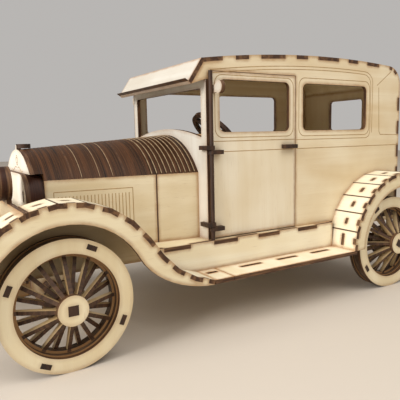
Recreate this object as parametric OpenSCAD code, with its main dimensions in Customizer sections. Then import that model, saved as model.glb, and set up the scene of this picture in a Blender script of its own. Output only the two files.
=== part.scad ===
// Laser-cut plywood kit car: a closed two-door sedan with a long stacked hood, sweeping fenders and spoked wheels.
// X runs forward, Y to the car's left, Z up. The origin lies on the ground, midway between the two axles.

/* [Sheet] */
// Thickness of the plywood sheet
ply = 3; // [2.5:0.1:3.5]

/* [Overall] */
// Distance between the front and the rear axle
wheelbase = 287; // [250:1:345]
// Width across the outer faces of the fender plates
car_w = 183.8; // [175:1:221]
// Height of the highest point of the roof
roof_z = 198.8; // [195:1:238]

/* [Wheels] */
// Diameter of a wheel
wheel_d = 80; // [66:1:84]
// Width of a tyre, in sheets
tyre_plies = 4; // [3:1:4]
// Diameter of the opening in the tyre rings
rim_d = 62.2; // [54:0.2:64]
// Spokes in each of the two rows of a wheel
spokes = 12; // [8:1:14]
// Diameter of the hub discs
hub_d = 18; // [14:0.5:20]
// Distance that the hub disc stands out of the tyre
hub_out = 8.5; // [7:0.5:10]
// Diameter of the axle dowel
axle_d = 9; // [8:0.5:10]
// Radial clearance of every turning pin and shaft in its bore
running_gap = 0.06; // [0.04:0.01:0.08]
// Side of the square tenon at the axle's ends
tenon = 6.1; // [4.8:0.1:6.3]

/* [Floor and boards] */
// Height of the top of the floor plate
floor_z = 60.8; // [57:0.2:66]
// Height of the top of the running boards
board_z = 40.2; // [36:0.2:44]
// Length of one floor tab in the aprons
floor_tab = 21.3; // [14:0.1:24]

/* [Cabin] */
// Width of the cabin across its side plates
body_w = 125.2; // [110:1:128]
// Distance from the front axle back to the front face of the bulkhead
bulkhead_back = 110.5; // [106:0.5:120]
// Length of the cabin from the bulkhead's front face to the rear panel's rear face
cabin_l = 213.6; // [205:1:222]
// Radius of the long curve of the roof
roof_r = 960; // [700:10:1400]
// Radius of the roof's rear corner
corner_r = 17; // [12:1:20]
// Height of the sills of the windows
sill_z = 139.2; // [134:0.2:144]
// Height of the tops of the windows
window_top = 176.6; // [165:0.2:178]
// Length of a door
door_l = 80.4; // [70:0.2:84]
// Gap round the doors
door_gap = 0.4; // [0.3:0.1:0.6]
// Height of a door's top edge
door_top = 181.8; // [180:0.2:183]
// Length of the rear quarter window
quarter_l = 75.2; // [60:0.2:80]
// Height of the cowl's crown below the windshield
cowl_z = 142.6; // [140:0.2:148]
// Width of the windshield opening
shield_w = 111; // [100:1:114]
// Width of the rear window
rear_window_w = 43; // [30:1:60]

/* [Hinges] */
// Diameter of the hinge rods
rod_d = 3; // [2.4:0.1:3.4]
// Heights of the undersides of the fixed hinge brackets
hinge_z = [70.8, 126.5];

/* [Hood] */
// Height of the joint between the hood and the engine side panels
hood_z = 110; // [104:0.5:116]
// Half width of the hood at its front end
hood_front_w = 39; // [34:0.5:42]
// Half width of the hood at the bulkhead
hood_rear_w = 50.3; // [45:0.5:54]
// Height of the hood's crown at its front end
crown_front_z = 129.9; // [126:0.5:134]
// Height of the hood's crown at the bulkhead
crown_rear_z = 138; // [134:0.5:142]
// Number of close-packed front sheets of the hood
close_sheets = 26; // [20:1:26]
// Number of spaced rear sheets of the hood
spaced_sheets = 10; // [6:1:10]
// Half width of the radiator
radiator_w = 40; // [34:0.5:42]
// Corner radius of the radiator
radiator_r = 16; // [10:0.5:18]
// Diameter of a headlight
headlight_d = 21; // [16:0.5:24]

/* [Fenders] */
// Outer radius of the front fenders
fender_r = 61.7; // [58:0.1:64]
// Outer radius of the rear fenders
rear_fender_r = 62.5; // [60:0.1:64]
// Angle that one fender strip covers
strip_angle = 15; // [15:0.5:16]
// Width of the fender plates' arched band
band_w = 12.6; // [9:0.1:13]
// Width of the crests that hold the strips' ends
crest_w = 5; // [3:0.5:7]

/* [Hidden] */
$fn = 96;

// Colours of the wood: bare sheet, cut edges burnt brown, and dark stained parts
BARE = [0.88, 0.79, 0.62];
PALE = [0.93, 0.88, 0.75];
BURNT = [0.36, 0.22, 0.14];
DARK = [0.22, 0.13, 0.09];

// Main planes
axle_z = wheel_d / 2;
front_x = wheelbase / 2;
rear_x = -wheelbase / 2;
fender_y = car_w / 2;
side_y = body_w / 2;
apron_y = side_y + 4.45;
bulkhead_x = front_x - bulkhead_back;
tail_x = bulkhead_x - cabin_l;
EPS = 0.01;
// Space left between stacked sheets, so that each stays a piece of its own
sheet_gap = 0.04;

// ---- helpers ----
// Stands an outline drawn in X and Z upright, as a plate from y to y + t
module upright(y, t = ply) translate([0, y + t, 0]) rotate([90, 0, 0]) linear_extrude(t) children();
// Stands an outline drawn in Y and Z across the car, as a plate from x to x + t
module across(x, t = ply) translate([x, 0, 0]) rotate([90, 0, 90]) linear_extrude(t) children();
// Draws its children on the left and mirrored on the right
module both_sides() for (s = [0, 1]) mirror([0, s, 0]) children();
// Rectangle from its lower left to its upper right corner
module box2(x0, z0, x1, z1) translate([x0, z0]) square([x1 - x0, z1 - z0]);
// Rectangle with rounded corners
module round_box(x0, z0, x1, z1, r) {
  box2(x0 + r, z0, x1 - r, z1);
  box2(x0, z0 + r, x1, z1 - r);
  for (x = [x0 + r, x1 - r], z = [z0 + r, z1 - r]) translate([x, z]) circle(r, $fn = 32);
}
function turned(p, a) = [p[0] * cos(a) - p[1] * sin(a), p[0] * sin(a) + p[1] * cos(a)];
function unit(v) = v / norm(v);
// Point where the inward offsets of the segments a-b and b-c meet, t to the right of the direction of travel
function miter(a, b, c, t) =
  let (n1 = turned(unit(b - a), -90), n2 = turned(unit(c - b), -90), n = unit(n1 + n2))
  b + n * t / (n * n1);
// Offset of a whole open line by t to the right of the direction of travel
function offset_line(v, t) = [
  for (i = [0:len(v) - 1])
    i == 0 ? v[0] + t * turned(unit(v[1] - v[0]), -90)
    : i == len(v) - 1 ? v[i] + t * turned(unit(v[i] - v[i - 1]), -90)
    : miter(v[i - 1], v[i], v[i + 1], t)
];
function reversed(v) = [for (i = [len(v) - 1:-1:0]) v[i]];
function bezier(a, b, c, d, n) = [
  for (i = [0:n]) let (t = i / n, u = 1 - t)
    u * u * u * a + 3 * u * u * t * b + 3 * u * t * t * c + t * t * t * d
];

// ---- chassis ----
rail_y = 33;
rail_depth = 11;
bumper_x = front_x + 65.5;
radiator_back = front_x - 1;
// Plate between the aprons, narrower behind the running boards, with tabs through the aprons' notches
module floor_outline() {
  translate([tail_x + ply, -side_y]) square([radiator_back - tail_x - ply, body_w]);
  translate([board_end, -apron_y + ply]) square([radiator_back - board_end, 2 * (apron_y - ply)]);
  for (x = floor_tabs) translate([x, -apron_y]) square([floor_tab, 2 * apron_y]);
}
floor_pitch = 40.8;
floor_tabs = [for (i = [0:3]) bulkhead_x + 17.5 - i * floor_pitch];
module floor_plate() color(BARE) translate([0, 0, floor_z - ply]) linear_extrude(ply) floor_outline();

rail_top = floor_z - ply;
module chassis_rails() color(BARE) both_sides() upright(rail_y)
  box2(-bumper_x, rail_top - rail_depth, bumper_x, rail_top);

hanger_r = 11;
bore_d = axle_d + 2 * running_gap;
module axle_hangers() color(BARE) both_sides() for (x = [front_x, rear_x]) upright(rail_y + ply) difference() {
  union() {
    translate([x, axle_z]) circle(hanger_r);
    box2(x - hanger_r, axle_z, x + hanger_r, rail_top);
  }
  translate([x, axle_z]) circle(d = bore_d);
}

// ---- fenders ----
// Outer line of the front fender round its axle, from its front tip back to the running board
strip_start = 94.6;
arch_strips = 10;
function on_arch(a, r) = [front_x + r * sin(a), axle_z + r * cos(a)];
arch_line = [for (i = [0:arch_strips]) on_arch(strip_start - i * strip_angle, fender_r)];
tail_slopes = [54, 45, 30, 18];
tail_sines = [for (s = tail_slopes) sin(s)];
tail_w = (arch_line[arch_strips][1] - board_z) / (tail_sines * [1, 1, 1, 1]);
function tail_point(p, i) = i == 0 ? p
  : tail_point(p, i - 1) - tail_w * [cos(tail_slopes[i - 1]), sin(tail_slopes[i - 1])];
tail_line = [for (i = [1:4]) tail_point(arch_line[arch_strips], i)];
front_line = concat(arch_line, tail_line);
front_under = offset_line(front_line, -ply);
fender_end_x = tail_line[3][0];

// Outer line of the rear fender, from its front foot on the running board over the wheel
rear_back = 9;
rear_arch_strips = 10;
rear_drop = 0.5;
rear_start = asin((board_z - axle_z + rear_drop) / rear_fender_r);
rear_strip_angle = strip_angle - 0.5;
crest_foot = 1;
// Width of the ribs' crest in the lowest strip of the rear fender
rear_foot_w = 10;
function on_rear(a, r) = [rear_x - rear_back + r * cos(a), axle_z - rear_drop + r * sin(a)];
rear_line = [for (i = [0:rear_arch_strips]) on_rear(rear_start + i * rear_strip_angle, rear_fender_r)];
rear_under = offset_line(rear_line, -ply);

// Rectangle of width crest_w standing outward on the middle of the segment a-b of an inner line
module crest(a, b, height = ply, width = crest_w) {
  d = unit(b - a);
  n = turned(d, -90);
  half = d * width / 2;
  m = (a + b) / 2;
  foot = m - n * crest_foot;
  top = m + n * height;
  polygon([foot + half, foot - half, top - half, top + half]);
}
// One flat strip between two points of the outer line and two of the inner line
module strip_section(outer, under, i)
  polygon([outer[i], outer[i + 1], under[i + 1], under[i]]);
slot_y = apron_y + 9.4;
notch_h = ply + 1;
// Strips first to last of a fender, from inner_y out to the fender's face, notched for the plate's crests
module strips(outer, under, inner_y, first, last, slotted, foot_w = crest_w) for (i = [first:last]) difference() {
  upright(inner_y, fender_y - inner_y) strip_section(outer, under, i);
  upright(fender_y - ply, ply + 1) crest(under[i], under[i + 1], notch_h);
  if (slotted) upright(slot_y) crest(under[i], under[i + 1], notch_h, i == 0 ? foot_w : crest_w);
}
module front_strips() difference() {
  union() {
    strips(front_line, front_under, apron_y - ply, 0, arch_strips - 1, true);
    strips(front_line, front_under, apron_y, arch_strips, len(front_line) - 2, false);
  }
  across(bar_x) bar_outline();
}
inner_tip = [fender_end_x, board_z - ply];
function arch_inner(a) = on_arch(a, fender_r - band_w);
inner_leave = -62;
module front_fender_outline() {
  inner = concat(
    [for (a = [strip_start:-8:inner_leave]) arch_inner(a)],
    bezier(arch_inner(inner_leave), arch_inner(inner_leave) - 18 * [cos(-inner_leave), sin(-inner_leave)],
      inner_tip + [22, 0], inner_tip, 10));
  polygon(concat(front_under, [[fender_end_x, board_z - ply]], reversed(inner)));
  for (i = [0:len(front_line) - 2]) crest(front_under[i], front_under[i + 1]);
}
module front_fender_plate() difference() {
  upright(fender_y - ply) front_fender_outline();
  across(bar_x) bar_outline();
}
module front_fender_left_plate() color(BARE) front_fender_plate();
module front_fender_right_plate() color(BARE) mirror([0, 1, 0]) front_fender_plate();
module front_fender_left_strips() color(BARE) front_strips();
module front_fender_right_strips() color(BARE) mirror([0, 1, 0]) front_strips();

// Inner walls of the front fenders, and the crested ribs under the strips of all fenders
wall_z = floor_z - 6.5;
wall_rear_x = front_under[arch_strips + 1][0];
rib_w = 7;
module wall_outline() difference() {
  polygon(concat([for (i = [0:arch_strips + 1]) front_under[i]], [[wall_rear_x, 0], [front_x, 0]]));
  translate([front_x, axle_z]) intersection() {
    circle(fender_r - band_w);
    box2(-fender_r, -fender_r, fender_r, wall_z - axle_z);
  }
  box2(wall_rear_x - 1, -1, front_x + 10, wall_z);
  box2(front_x, -1, front_x + fender_r, arch_line[0][1]);
}
module rib_outline(under, c, r, count, foot_w = crest_w) difference() {
  union() {
    polygon(concat([for (i = [0:count]) under[i]], [c]));
    for (i = [0:count - 1]) crest(under[i], under[i + 1], ply, i == 0 ? foot_w : crest_w);
  }
  translate(c) circle(r - ply - rib_w);
}
module fender_formers() color(BARE) both_sides() {
  difference() {
    union() {
      upright(apron_y - ply) wall_outline();
      upright(slot_y) rib_outline(front_under, [front_x, axle_z], fender_r, arch_strips);
    }
    across(bar_x) bar_outline();
  }
  upright(slot_y) rib_outline(rear_under, on_rear(0, 0), rear_fender_r, rear_arch_strips, rear_foot_w);
}

module rear_fender_outline() {
  inner = [for (i = [0:rear_arch_strips * 2])
    on_rear(rear_start + i * rear_strip_angle / 2, rear_fender_r - band_w)];
  polygon(concat(rear_under, reversed(inner)));
  for (i = [0:rear_arch_strips - 1]) crest(rear_under[i], rear_under[i + 1]);
}
module rear_fender_plate() above_board() upright(fender_y - ply) rear_fender_outline();
module rear_fender_left_plate() color(BARE) rear_fender_plate();
module rear_fender_right_plate() color(BARE) mirror([0, 1, 0]) rear_fender_plate();
module above_board() difference() {
  children();
  translate([rear_x, -fender_y, 0]) cube([wheelbase, car_w, board_z]);
}
module rear_strips() above_board()
  strips(rear_line, rear_under, side_y, 0, rear_arch_strips - 1, true, rear_foot_w);
module rear_fender_left_strips() color(BARE) rear_strips();
module rear_fender_right_strips() color(BARE) mirror([0, 1, 0]) rear_strips();

// ---- aprons and running boards ----
board_end = rear_line[0][0];
// The apron's front end is cut away below the strips, where the wheel's arch is open
module apron_cut() intersection() {
  polygon(concat([for (i = [arch_strips + 1:len(front_under) - 1]) front_under[i]],
    [[fender_end_x, 0], [wall_rear_x + 1, 0], [wall_rear_x + 1, wall_z]]));
  box2(fender_end_x, 0, wall_rear_x + 1, wall_z);
}
module aprons() color(BARE) both_sides() upright(apron_y - ply) difference() {
  box2(board_end, board_z, wall_rear_x, floor_z);
  for (x = floor_tabs) box2(x, floor_z - ply, x + floor_tab, floor_z + 1);
  apron_cut();
}
board_joint = bulkhead_x - 2;
board_gap = 0.3;
board_slot = [19.5, ply];
board_slot_pitch = 35.3;
front_slot_l = 8.5;
module board_outline(x0, x1) difference() {
  box2(x0, apron_y - ply, x1, fender_y);
  for (i = [0:2]) translate([board_joint - 37.4 - i * board_slot_pitch, apron_y + 6.3]) square(board_slot);
  translate([board_joint + ply, apron_y + 6.3]) square([front_slot_l, ply]);
}
module running_boards() color(BARE) both_sides() translate([0, 0, board_z - ply]) linear_extrude(ply) {
  board_outline(board_end - ply, board_joint - board_gap);
  board_outline(board_joint, fender_end_x);
}

// ---- cabin ----
roof_peak_x = tail_x + 90.6;
roof_c = [roof_peak_x, roof_z - roof_r];
corner_x = tail_x + corner_r;
corner_zc = roof_c[1] + sqrt(pow(roof_r - corner_r, 2) - pow(corner_x - roof_c[0], 2));
function roof_at(x) = roof_c[1] + sqrt(roof_r * roof_r - pow(x - roof_c[0], 2));
roof_front_x = bulkhead_x + 3;
roof_join = roof_c + roof_r * unit([corner_x, corner_zc] - roof_c);
roof_steps = 16;
corner_steps = 8;
// Roof line from its front edge back and down to the top of the rear panel, t inside the outer surface
function roof_line(t) = let (
  a0 = acos((roof_front_x - roof_c[0]) / roof_r),
  a1 = acos((roof_join[0] - roof_c[0]) / roof_r)
) concat(
  [for (i = [0:roof_steps]) let (a = a0 + (a1 - a0) * i / roof_steps) roof_c + (roof_r - t) * [cos(a), sin(a)]],
  [for (i = [1:corner_steps]) let (a = a1 + (180 - a1) * i / corner_steps)
    [corner_x, corner_zc] + (corner_r - t) * [cos(a), sin(a)]]
);
// Lengths of the roof's edge tabs, front to rear, and the space between them
roof_tabs = [18, 12, 24, 12, 24, 12, 16];
tab_space = 11.5;
roof_scale = (roof_front_x - corner_x) / 200;
function tab_start(i) = i == 0 ? roof_front_x : tab_start(i - 1) - roof_scale * (roof_tabs[i - 1] + tab_space);
// Start and end angles of the tabs on the roof's rear corner
corner_tabs = [[95, 109], [120, 137]];
module roof_strip(over = 0) polygon(concat(roof_line(-over), reversed(roof_line(ply))));
module roof_tab_outline(over = 0) intersection() {
  roof_strip(over);
  union() {
    for (i = [0:len(roof_tabs) - 1])
      box2(tab_start(i) - roof_scale * roof_tabs[i], corner_zc, tab_start(i) + (i == 0 ? 1 : 0), roof_z + 2);
    for (t = corner_tabs) translate([corner_x, corner_zc])
      polygon([[0, 0], 2 * corner_r * [cos(t[0]), sin(t[0])], 2 * corner_r * [cos(t[1]), sin(t[1])]]);
  }
}
inner_y = side_y - ply;

// Visor: a sheet that slopes forward and down from the roof's front edge
visor_low = [roof_front_x + 11, roof_at(roof_front_x) - 16.3];
visor_high = [roof_front_x, roof_at(roof_front_x)];
visor_n = turned(unit(visor_low - visor_high), -90);
module visor_outline() polygon([visor_high, visor_low, visor_low + ply * visor_n, visor_high + ply * visor_n]);
module visor() color(BARE) upright(-side_y, body_w) visor_outline();
module roof_panel() color(BARE) difference() {
  union() {
    upright(-inner_y, 2 * inner_y) roof_strip();
    both_sides() upright(inner_y) roof_tab_outline();
  }
  upright(-side_y - 1, body_w + 2) visor_outline();
}

door_front = bulkhead_x - ply - 0.6;
door_rear = door_front - door_l;
door_bottom = floor_z + 0.9;
shoulder_z = visor_low[1] + 2;
quarter_front = door_rear - 8.2;
window_r = 4.3;
rear_tab = 12;
rear_tabs = [for (i = [0:4]) floor_z + 10 + i * (corner_zc - floor_z - 20) / 4.6];
module body_side_outline() difference() {
  polygon(concat(
    [[tail_x, floor_z], [door_rear - door_gap, floor_z], [door_rear - door_gap, door_top + door_gap],
     [bulkhead_x - ply, door_top + door_gap], [bulkhead_x - ply, shoulder_z], [bulkhead_x, shoulder_z],
     visor_low + ply * visor_n, visor_high + ply * visor_n],
    [for (i = [1:roof_steps + corner_steps]) roof_line(0)[i]]));
  roof_tab_outline(1);
  for (z = rear_tabs) box2(tail_x - 1, z, tail_x + ply, z + rear_tab);
  round_box(quarter_front - quarter_l, sill_z, quarter_front, window_top, window_r);
}
module body_side_left() color(BARE) upright(inner_y) body_side_outline();
module body_side_right() color(BARE) mirror([0, 1, 0]) upright(inner_y) body_side_outline();

module rear_panel() color(BARE) across(tail_x) difference() {
  union() {
    box2(-inner_y, floor_z - ply, inner_y, corner_zc);
    for (z = rear_tabs) box2(-side_y, z, side_y, z + rear_tab);
  }
  round_box(-rear_window_w / 2, sill_z + 0.8, rear_window_w / 2, window_top - 6.6, 3);
}

// Bulkhead with the cowl's arch, the windshield opening and its header
header_z = visor_low[1] - 3.8;
bulkhead_top = roof_at(bulkhead_x) - ply - 0.2;
arch_fall = 7;
cowl_r = (shield_w * shield_w / 4 + arch_fall * arch_fall) / (2 * arch_fall);
module front_bulkhead() color(PALE) across(bulkhead_x - ply) difference() {
  union() {
    box2(-side_y, floor_z, side_y, shoulder_z);
    box2(-inner_y, floor_z, inner_y, bulkhead_top);
  }
  difference() {
    round_box(-shield_w / 2, cowl_z - arch_fall - 1, shield_w / 2, header_z, 2);
    translate([0, cowl_z - cowl_r]) circle(cowl_r, $fn = 200);
  }
}

// ---- doors ----
pin = [bulkhead_x - 2.5, side_y + 2.5];
leaf_out = 4.8;
module door_outline() difference() {
  box2(door_rear, door_bottom, door_front, door_top);
  round_box(door_rear + 6.4, sill_z - 0.2, door_front - 8, window_top, window_r);
}
module door() upright(inner_y) door_outline();
module door_left() color(BARE) door();
module door_right() color(BARE) mirror([0, 1, 0]) door();
leaf_z = ply + 0.25;
leaf_eye = 2.4;
leaf_l = 9;
module leaf() difference() {
  union() {
    translate([pin[0] - leaf_l, side_y]) square([leaf_l, leaf_out]);
    translate(pin) circle(leaf_eye);
  }
  translate(pin) circle(d = rod_d + 2 * running_gap);
  translate([door_front, side_y - EPS]) square([10, 0.1 + EPS]);
}
module leaves() for (z = hinge_z) translate([0, 0, z - leaf_z]) linear_extrude(ply) leaf();
module door_left_leaves() color(DARK) leaves();
module door_right_leaves() color(DARK) mirror([0, 1, 0]) leaves();
handle_z = hinge_z[1] - 1;
handle_l = 12.8;
module handle() translate([door_rear + 1.4, side_y, handle_z]) cube([handle_l, leaf_out, ply]);
module door_left_handle() color(DARK) handle();
module door_right_handle() color(DARK) mirror([0, 1, 0]) handle();
module hinge_rods() color(DARK) both_sides() translate([pin[0], pin[1], floor_z])
  cylinder(d = rod_d, h = door_top - floor_z);
module bracket() difference() {
  union() {
    translate([bulkhead_x, side_y - 6]) square([ply, 6 + leaf_out]);
    translate([pin[0], pin[1] - leaf_eye]) square([bulkhead_x - pin[0], 2 * leaf_eye - 0.1]);
    translate(pin) circle(leaf_eye);
    translate([bulkhead_x - ply, side_y]) square([ply, 1]);
  }
  translate(pin) circle(d = rod_d);
}
module hinge_brackets() color(DARK) both_sides()
  for (z = hinge_z) translate([0, 0, z]) linear_extrude(ply) bracket();

// Round mirror with a short stem, cut in one piece and glued on edge to the front of each door
mirror_x = door_front - 4;
mirror_z = window_top - 6.3;
mirror_out = 8.8;
mirror_d = 9;
stem_h = 5.4;
stem_drop = 1;
module mirror_sheet() across(mirror_x) {
  translate([side_y + mirror_out, mirror_z]) circle(d = mirror_d);
  translate([side_y, mirror_z - stem_drop - stem_h / 2]) square([mirror_out, stem_h]);
}
module door_left_mirror() color(PALE) mirror_sheet();
module door_right_mirror() color(PALE) mirror([0, 1, 0]) mirror_sheet();

// ---- steering ----
column_angle = 45;
wheel_c = [bulkhead_x - 27, 30, 138];
steer_d = 42;
column_d = 4;
column_l = 31;
dash_down = 20;
module on_column(s) translate(wheel_c) rotate([0, -column_angle, 0]) translate([0, 0, s]) children();
module dashboard() color(BARE) difference() {
  intersection() {
    on_column(-dash_down) translate([-12, -wheel_c[1] - inner_y + 0.4, 0]) cube([40, 2 * inner_y - 0.8, ply]);
    translate([0, -100, 0]) cube([bulkhead_x - ply, 200, 300]);
  }
  on_column(-dash_down - 1) cylinder(d = column_d + 2 * running_gap, h = ply + 2);
}
module steering_column() color(DARK) on_column(-column_l) cylinder(d = column_d, h = column_l);
rim_w = 3.4;
module steering_wheel() color(DARK) on_column(0) linear_extrude(ply) {
  difference() {
    circle(d = steer_d);
    circle(d = steer_d - 2 * rim_w);
  }
  circle(d = 9);
  for (a = [0, 120, 240]) rotate(a) translate([-1.3, 0]) square([2.6, steer_d / 2 - rim_w / 2]);
}

// ---- hood ----
function hood_part(x) = (x - bulkhead_x) / (hood_front_x - bulkhead_x);
hood_front_x = front_x + 4.5;
function hood_half(x) = hood_rear_w + (hood_front_w - hood_rear_w) * hood_part(x);
function hood_crown(x) = crown_rear_z + (crown_front_z - crown_rear_z) * hood_part(x);
radiator_top = crown_front_z - 15.6;
// Arch over the half width w from the height z0 up to the crown
module arch_segment(w, base_z, z0, crown) {
  rise = crown - base_z;
  r = (w * w + rise * rise) / (2 * rise);
  intersection() {
    translate([0, crown - r]) circle(r, $fn = 160);
    box2(-w - 1, z0, w + 1, crown + 1);
  }
}
module hood_sheet(x) across(x, ply - sheet_gap) arch_segment(
  hood_half(x + ply / 2), hood_z, x + ply > radiator_back ? radiator_top : hood_z, hood_crown(x + ply / 2));
module hood_front_sheets() color(BURNT)
  for (i = [0:close_sheets - 1]) hood_sheet(hood_front_x - (i + 1) * ply);
spaced_l = hood_front_x - close_sheets * ply - bulkhead_x;
module hood_rear_sheets() color(BURNT)
  for (i = [0:spaced_sheets - 1]) hood_sheet(bulkhead_x + i * spaced_l / spaced_sheets);

// Engine side panels under the hood, in two lengths
panel_joint = bulkhead_x + 33;
module engine_panel(x0, x1) translate([0, 0, floor_z]) linear_extrude(hood_z - floor_z) polygon([
  [x0, hood_half(x0) - ply], [x1, hood_half(x1) - ply], [x1, hood_half(x1)], [x0, hood_half(x0)]
]);
module engine_side_front_panels() color(BARE) both_sides() engine_panel(panel_joint + 0.1, radiator_back);
module engine_side_rear_panels() color(BARE) both_sides() engine_panel(bulkhead_x, panel_joint - 0.1);

// Nose: arched plate above the radiator, and the radiator's sheets
nose_tab = 3;
module nose_arch_plate() color(PALE) across(hood_front_x) {
  arch_segment(hood_front_w, radiator_top, radiator_top, crown_front_z);
  box2(-nose_tab / 2, crown_front_z - 2, nose_tab / 2, crown_front_z + ply);
}
module radiator_outline() intersection() {
  round_box(-radiator_w, floor_z - 30, radiator_w, radiator_top, radiator_r);
  box2(-radiator_w, floor_z - ply, radiator_w, radiator_top);
}
module radiator_sheets() color(BURNT) for (i = [0:2])
  across(radiator_back + i * ply, ply - (i < 2 ? sheet_gap : 0)) radiator_outline();
radiator_slot = [3, 7];
radiator_slot_y = 32;
radiator_slot_down = 18;
module radiator_front_plate() color(PALE) across(radiator_back + 3 * ply) difference() {
  radiator_outline();
  for (s = [-1, 1]) translate([s * radiator_slot_y - radiator_slot[0] / 2, radiator_top - radiator_slot_down])
    square(radiator_slot);
}
cap_d = 9.6;
cap_x = hood_front_x + 2.8 - cap_d / 2;
cap_z = hood_crown(cap_x - cap_d / 2 - ply);
module radiator_cap() color(DARK) difference() {
  translate([cap_x, 0, cap_z]) cylinder(d = cap_d, h = ply);
  translate([hood_front_x, -nose_tab / 2, cap_z - 1]) cube([ply, nose_tab, ply + 2]);
}

// ---- headlights and bumpers ----
bar_x = front_x + 20;
bar_mid_x = bar_x + ply / 2 - front_x;
bar_top = axle_z + sqrt(fender_r * fender_r - bar_mid_x * bar_mid_x);
bar_h = 12;
bar_end_h = 6.5;
light_y = 39;
neck_w = 8;
light_z = crown_front_z - 20;
// Bar across the fenders, shallow at its ends, with a round pad behind each headlight
module bar_outline() {
  box2(-fender_y, bar_top - ply, fender_y, bar_top);
  box2(-fender_y + ply, bar_top - bar_end_h, fender_y - ply, bar_top);
  box2(-apron_y + ply, bar_top - bar_h, apron_y - ply, bar_top);
  for (s = [-1, 1]) translate([s * light_y, light_z]) circle(d = headlight_d);
  for (s = [-1, 1]) translate([s * light_y - neck_w / 2, bar_top - 1]) square([neck_w, light_z - bar_top]);
}
module headlight_bar() color(BARE) across(bar_x) bar_outline();
rim_band = 3.5;
module headlight_at(x) for (s = [-1, 1]) across(x) translate([s * light_y, light_z]) children();
module headlight_drums() color(BURNT) headlight_at(bar_x + ply) circle(d = headlight_d);
module headlight_rims() color(PALE) headlight_at(bar_x + 2 * ply) difference() {
  circle(d = headlight_d);
  circle(d = headlight_d - 2 * rim_band);
}
bumper_h = 9;
bumper_z = rail_top - rail_depth;
module bumper() translate([bumper_x, -fender_y + 3, bumper_z]) cube([2 * ply, 2 * fender_y - 6, bumper_h]);
module front_bumper() color(BARE) bumper();
module rear_bumper() color(BARE) mirror([1, 0, 0]) bumper();

// ---- wheels ----
tyre_out = fender_y - 6.3;
tyre_in = tyre_out - tyre_plies * ply;
hub_y = tyre_out + hub_out;
peg_r = (wheel_d + rim_d) / 4 + 0.5;
peg = [6.4, 3.2];
peg_turn = 25;
groove = 1.6;
rim_step = 2.6;
half_pitch = 180 / spokes;
module peg_squares() for (i = [0:3]) rotate(peg_turn + i * 90)
  translate([peg_r - peg[1] / 2, -peg[0] / 2]) square([peg[1], peg[0]]);
rear_turn = -32;
module turned_at(x) translate([x, 0, axle_z]) rotate([0, x > 0 ? 0 : rear_turn, 0]) children();
module wheel_at(x) both_sides() turned_at(x) children();
// Radial slots in which the spokes' tips or roots sit, out to the radius r
module spoke_slots(turn, r0, r1) for (i = [0:spokes - 1]) rotate(turn + i * 360 / spokes)
  translate([r0, -spoke_t / 2]) square([r1 - r0, spoke_t]);
// Brown sheets of one tyre: the two inner ones hold the spokes' tips, the next is open like the outer ring
module one_tyre(x, s) mirror([0, s, 0]) turned_at(x) for (i = [0:tyre_plies - 2])
  upright(tyre_in + i * ply, ply - (i < tyre_plies - 2 ? sheet_gap : 0)) difference() {
    circle(d = wheel_d - (i == 1 ? groove : 0), $fn = 128);
    circle(d = rim_d - (i < 2 ? 2 * rim_step : 2), $fn = 128);
    if (i < 2) spoke_slots(i == 0 ? half_pitch : 0, rim_d / 2 - rim_step - 1, tip_r);
    peg_squares();
  }
module tyre_rings(x) wheel_at(x) upright(tyre_out - ply) difference() {
  circle(d = wheel_d, $fn = 128);
  circle(d = rim_d, $fn = 128);
  peg_squares();
}
module wheel_pegs(x) wheel_at(x) upright(tyre_in, tyre_plies * ply) peg_squares();
// Outline of a spoke in its own plane: along the radius, and along the axle from its tip's sheet to its hub core
spoke_t = 2.4;
core_d = 16;
core_h = 6;
root_r = core_d / 2 - 1.2;
tip_r = rim_d / 2 - rim_step + 1.4;
core_y = hub_y - ply;
spoke_shoulder = 2.2;
root_clear = 0.4;
tip_neck = 2.6;
tip_grip = 1.6;
module spoke_outline(root_y, tip_y) polygon([
  [core_d / 2 + spoke_shoulder, root_y - core_h + root_clear], [root_r, root_y - core_h + root_clear],
  [root_r, root_y], [core_d / 2 + 1, root_y], [tip_r - tip_neck, tip_y + ply + 0.8],
  [tip_r - tip_grip, tip_y + ply], [tip_r, tip_y + ply], [tip_r, tip_y], [tip_r - tip_neck, tip_y]
]);
module spoke_row(turn, root_y, tip_y) for (i = [0:spokes - 1]) rotate([0, -turn - i * 360 / spokes, 0])
  translate([0, 0, -spoke_t / 2]) linear_extrude(spoke_t) spoke_outline(root_y, tip_y);
module wheel_spokes(x) wheel_at(x) {
  spoke_row(0, core_y, tyre_in + ply);
  spoke_row(half_pitch, core_y - core_h, tyre_in);
}
flange_d = 26;
module hub_core(y, turn) upright(y, core_h - sheet_gap) difference() {
  circle(d = core_d);
  spoke_slots(turn, root_r, core_d);
  square(tenon, center = true);
}
module hub_disc(y, d) upright(y) difference() {
  circle(d = d);
  square(tenon, center = true);
}
module hubs(x) wheel_at(x) {
  hub_disc(core_y, hub_d);
  hub_core(core_y - core_h, 0);
  hub_core(core_y - 2 * core_h, half_pitch);
  hub_disc(tyre_in, flange_d);
}
module axle(x) {
  translate([x, 0, axle_z]) rotate([90, 0, 0]) cylinder(d = axle_d, h = 2 * (tyre_in - 2), center = true);
  wheel_at(x) translate([-tenon / 2, tyre_in - 2, -tenon / 2]) cube([tenon, hub_y - tyre_in + 2, tenon]);
}
module front_axle() color(DARK) axle(front_x);
module rear_axle() color(DARK) axle(rear_x);
module front_tyre_rings() color(PALE) tyre_rings(front_x);
module rear_tyre_rings() color(PALE) tyre_rings(rear_x);
module front_left_tyre() color(BURNT) one_tyre(front_x, 0);
module front_right_tyre() color(BURNT) one_tyre(front_x, 1);
module rear_left_tyre() color(BURNT) one_tyre(rear_x, 0);
module rear_right_tyre() color(BURNT) one_tyre(rear_x, 1);
module front_spokes() color(BURNT) wheel_spokes(front_x);
module rear_spokes() color(BURNT) wheel_spokes(rear_x);
module front_hubs() color(PALE) hubs(front_x);
module rear_hubs() color(PALE) hubs(rear_x);
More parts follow.
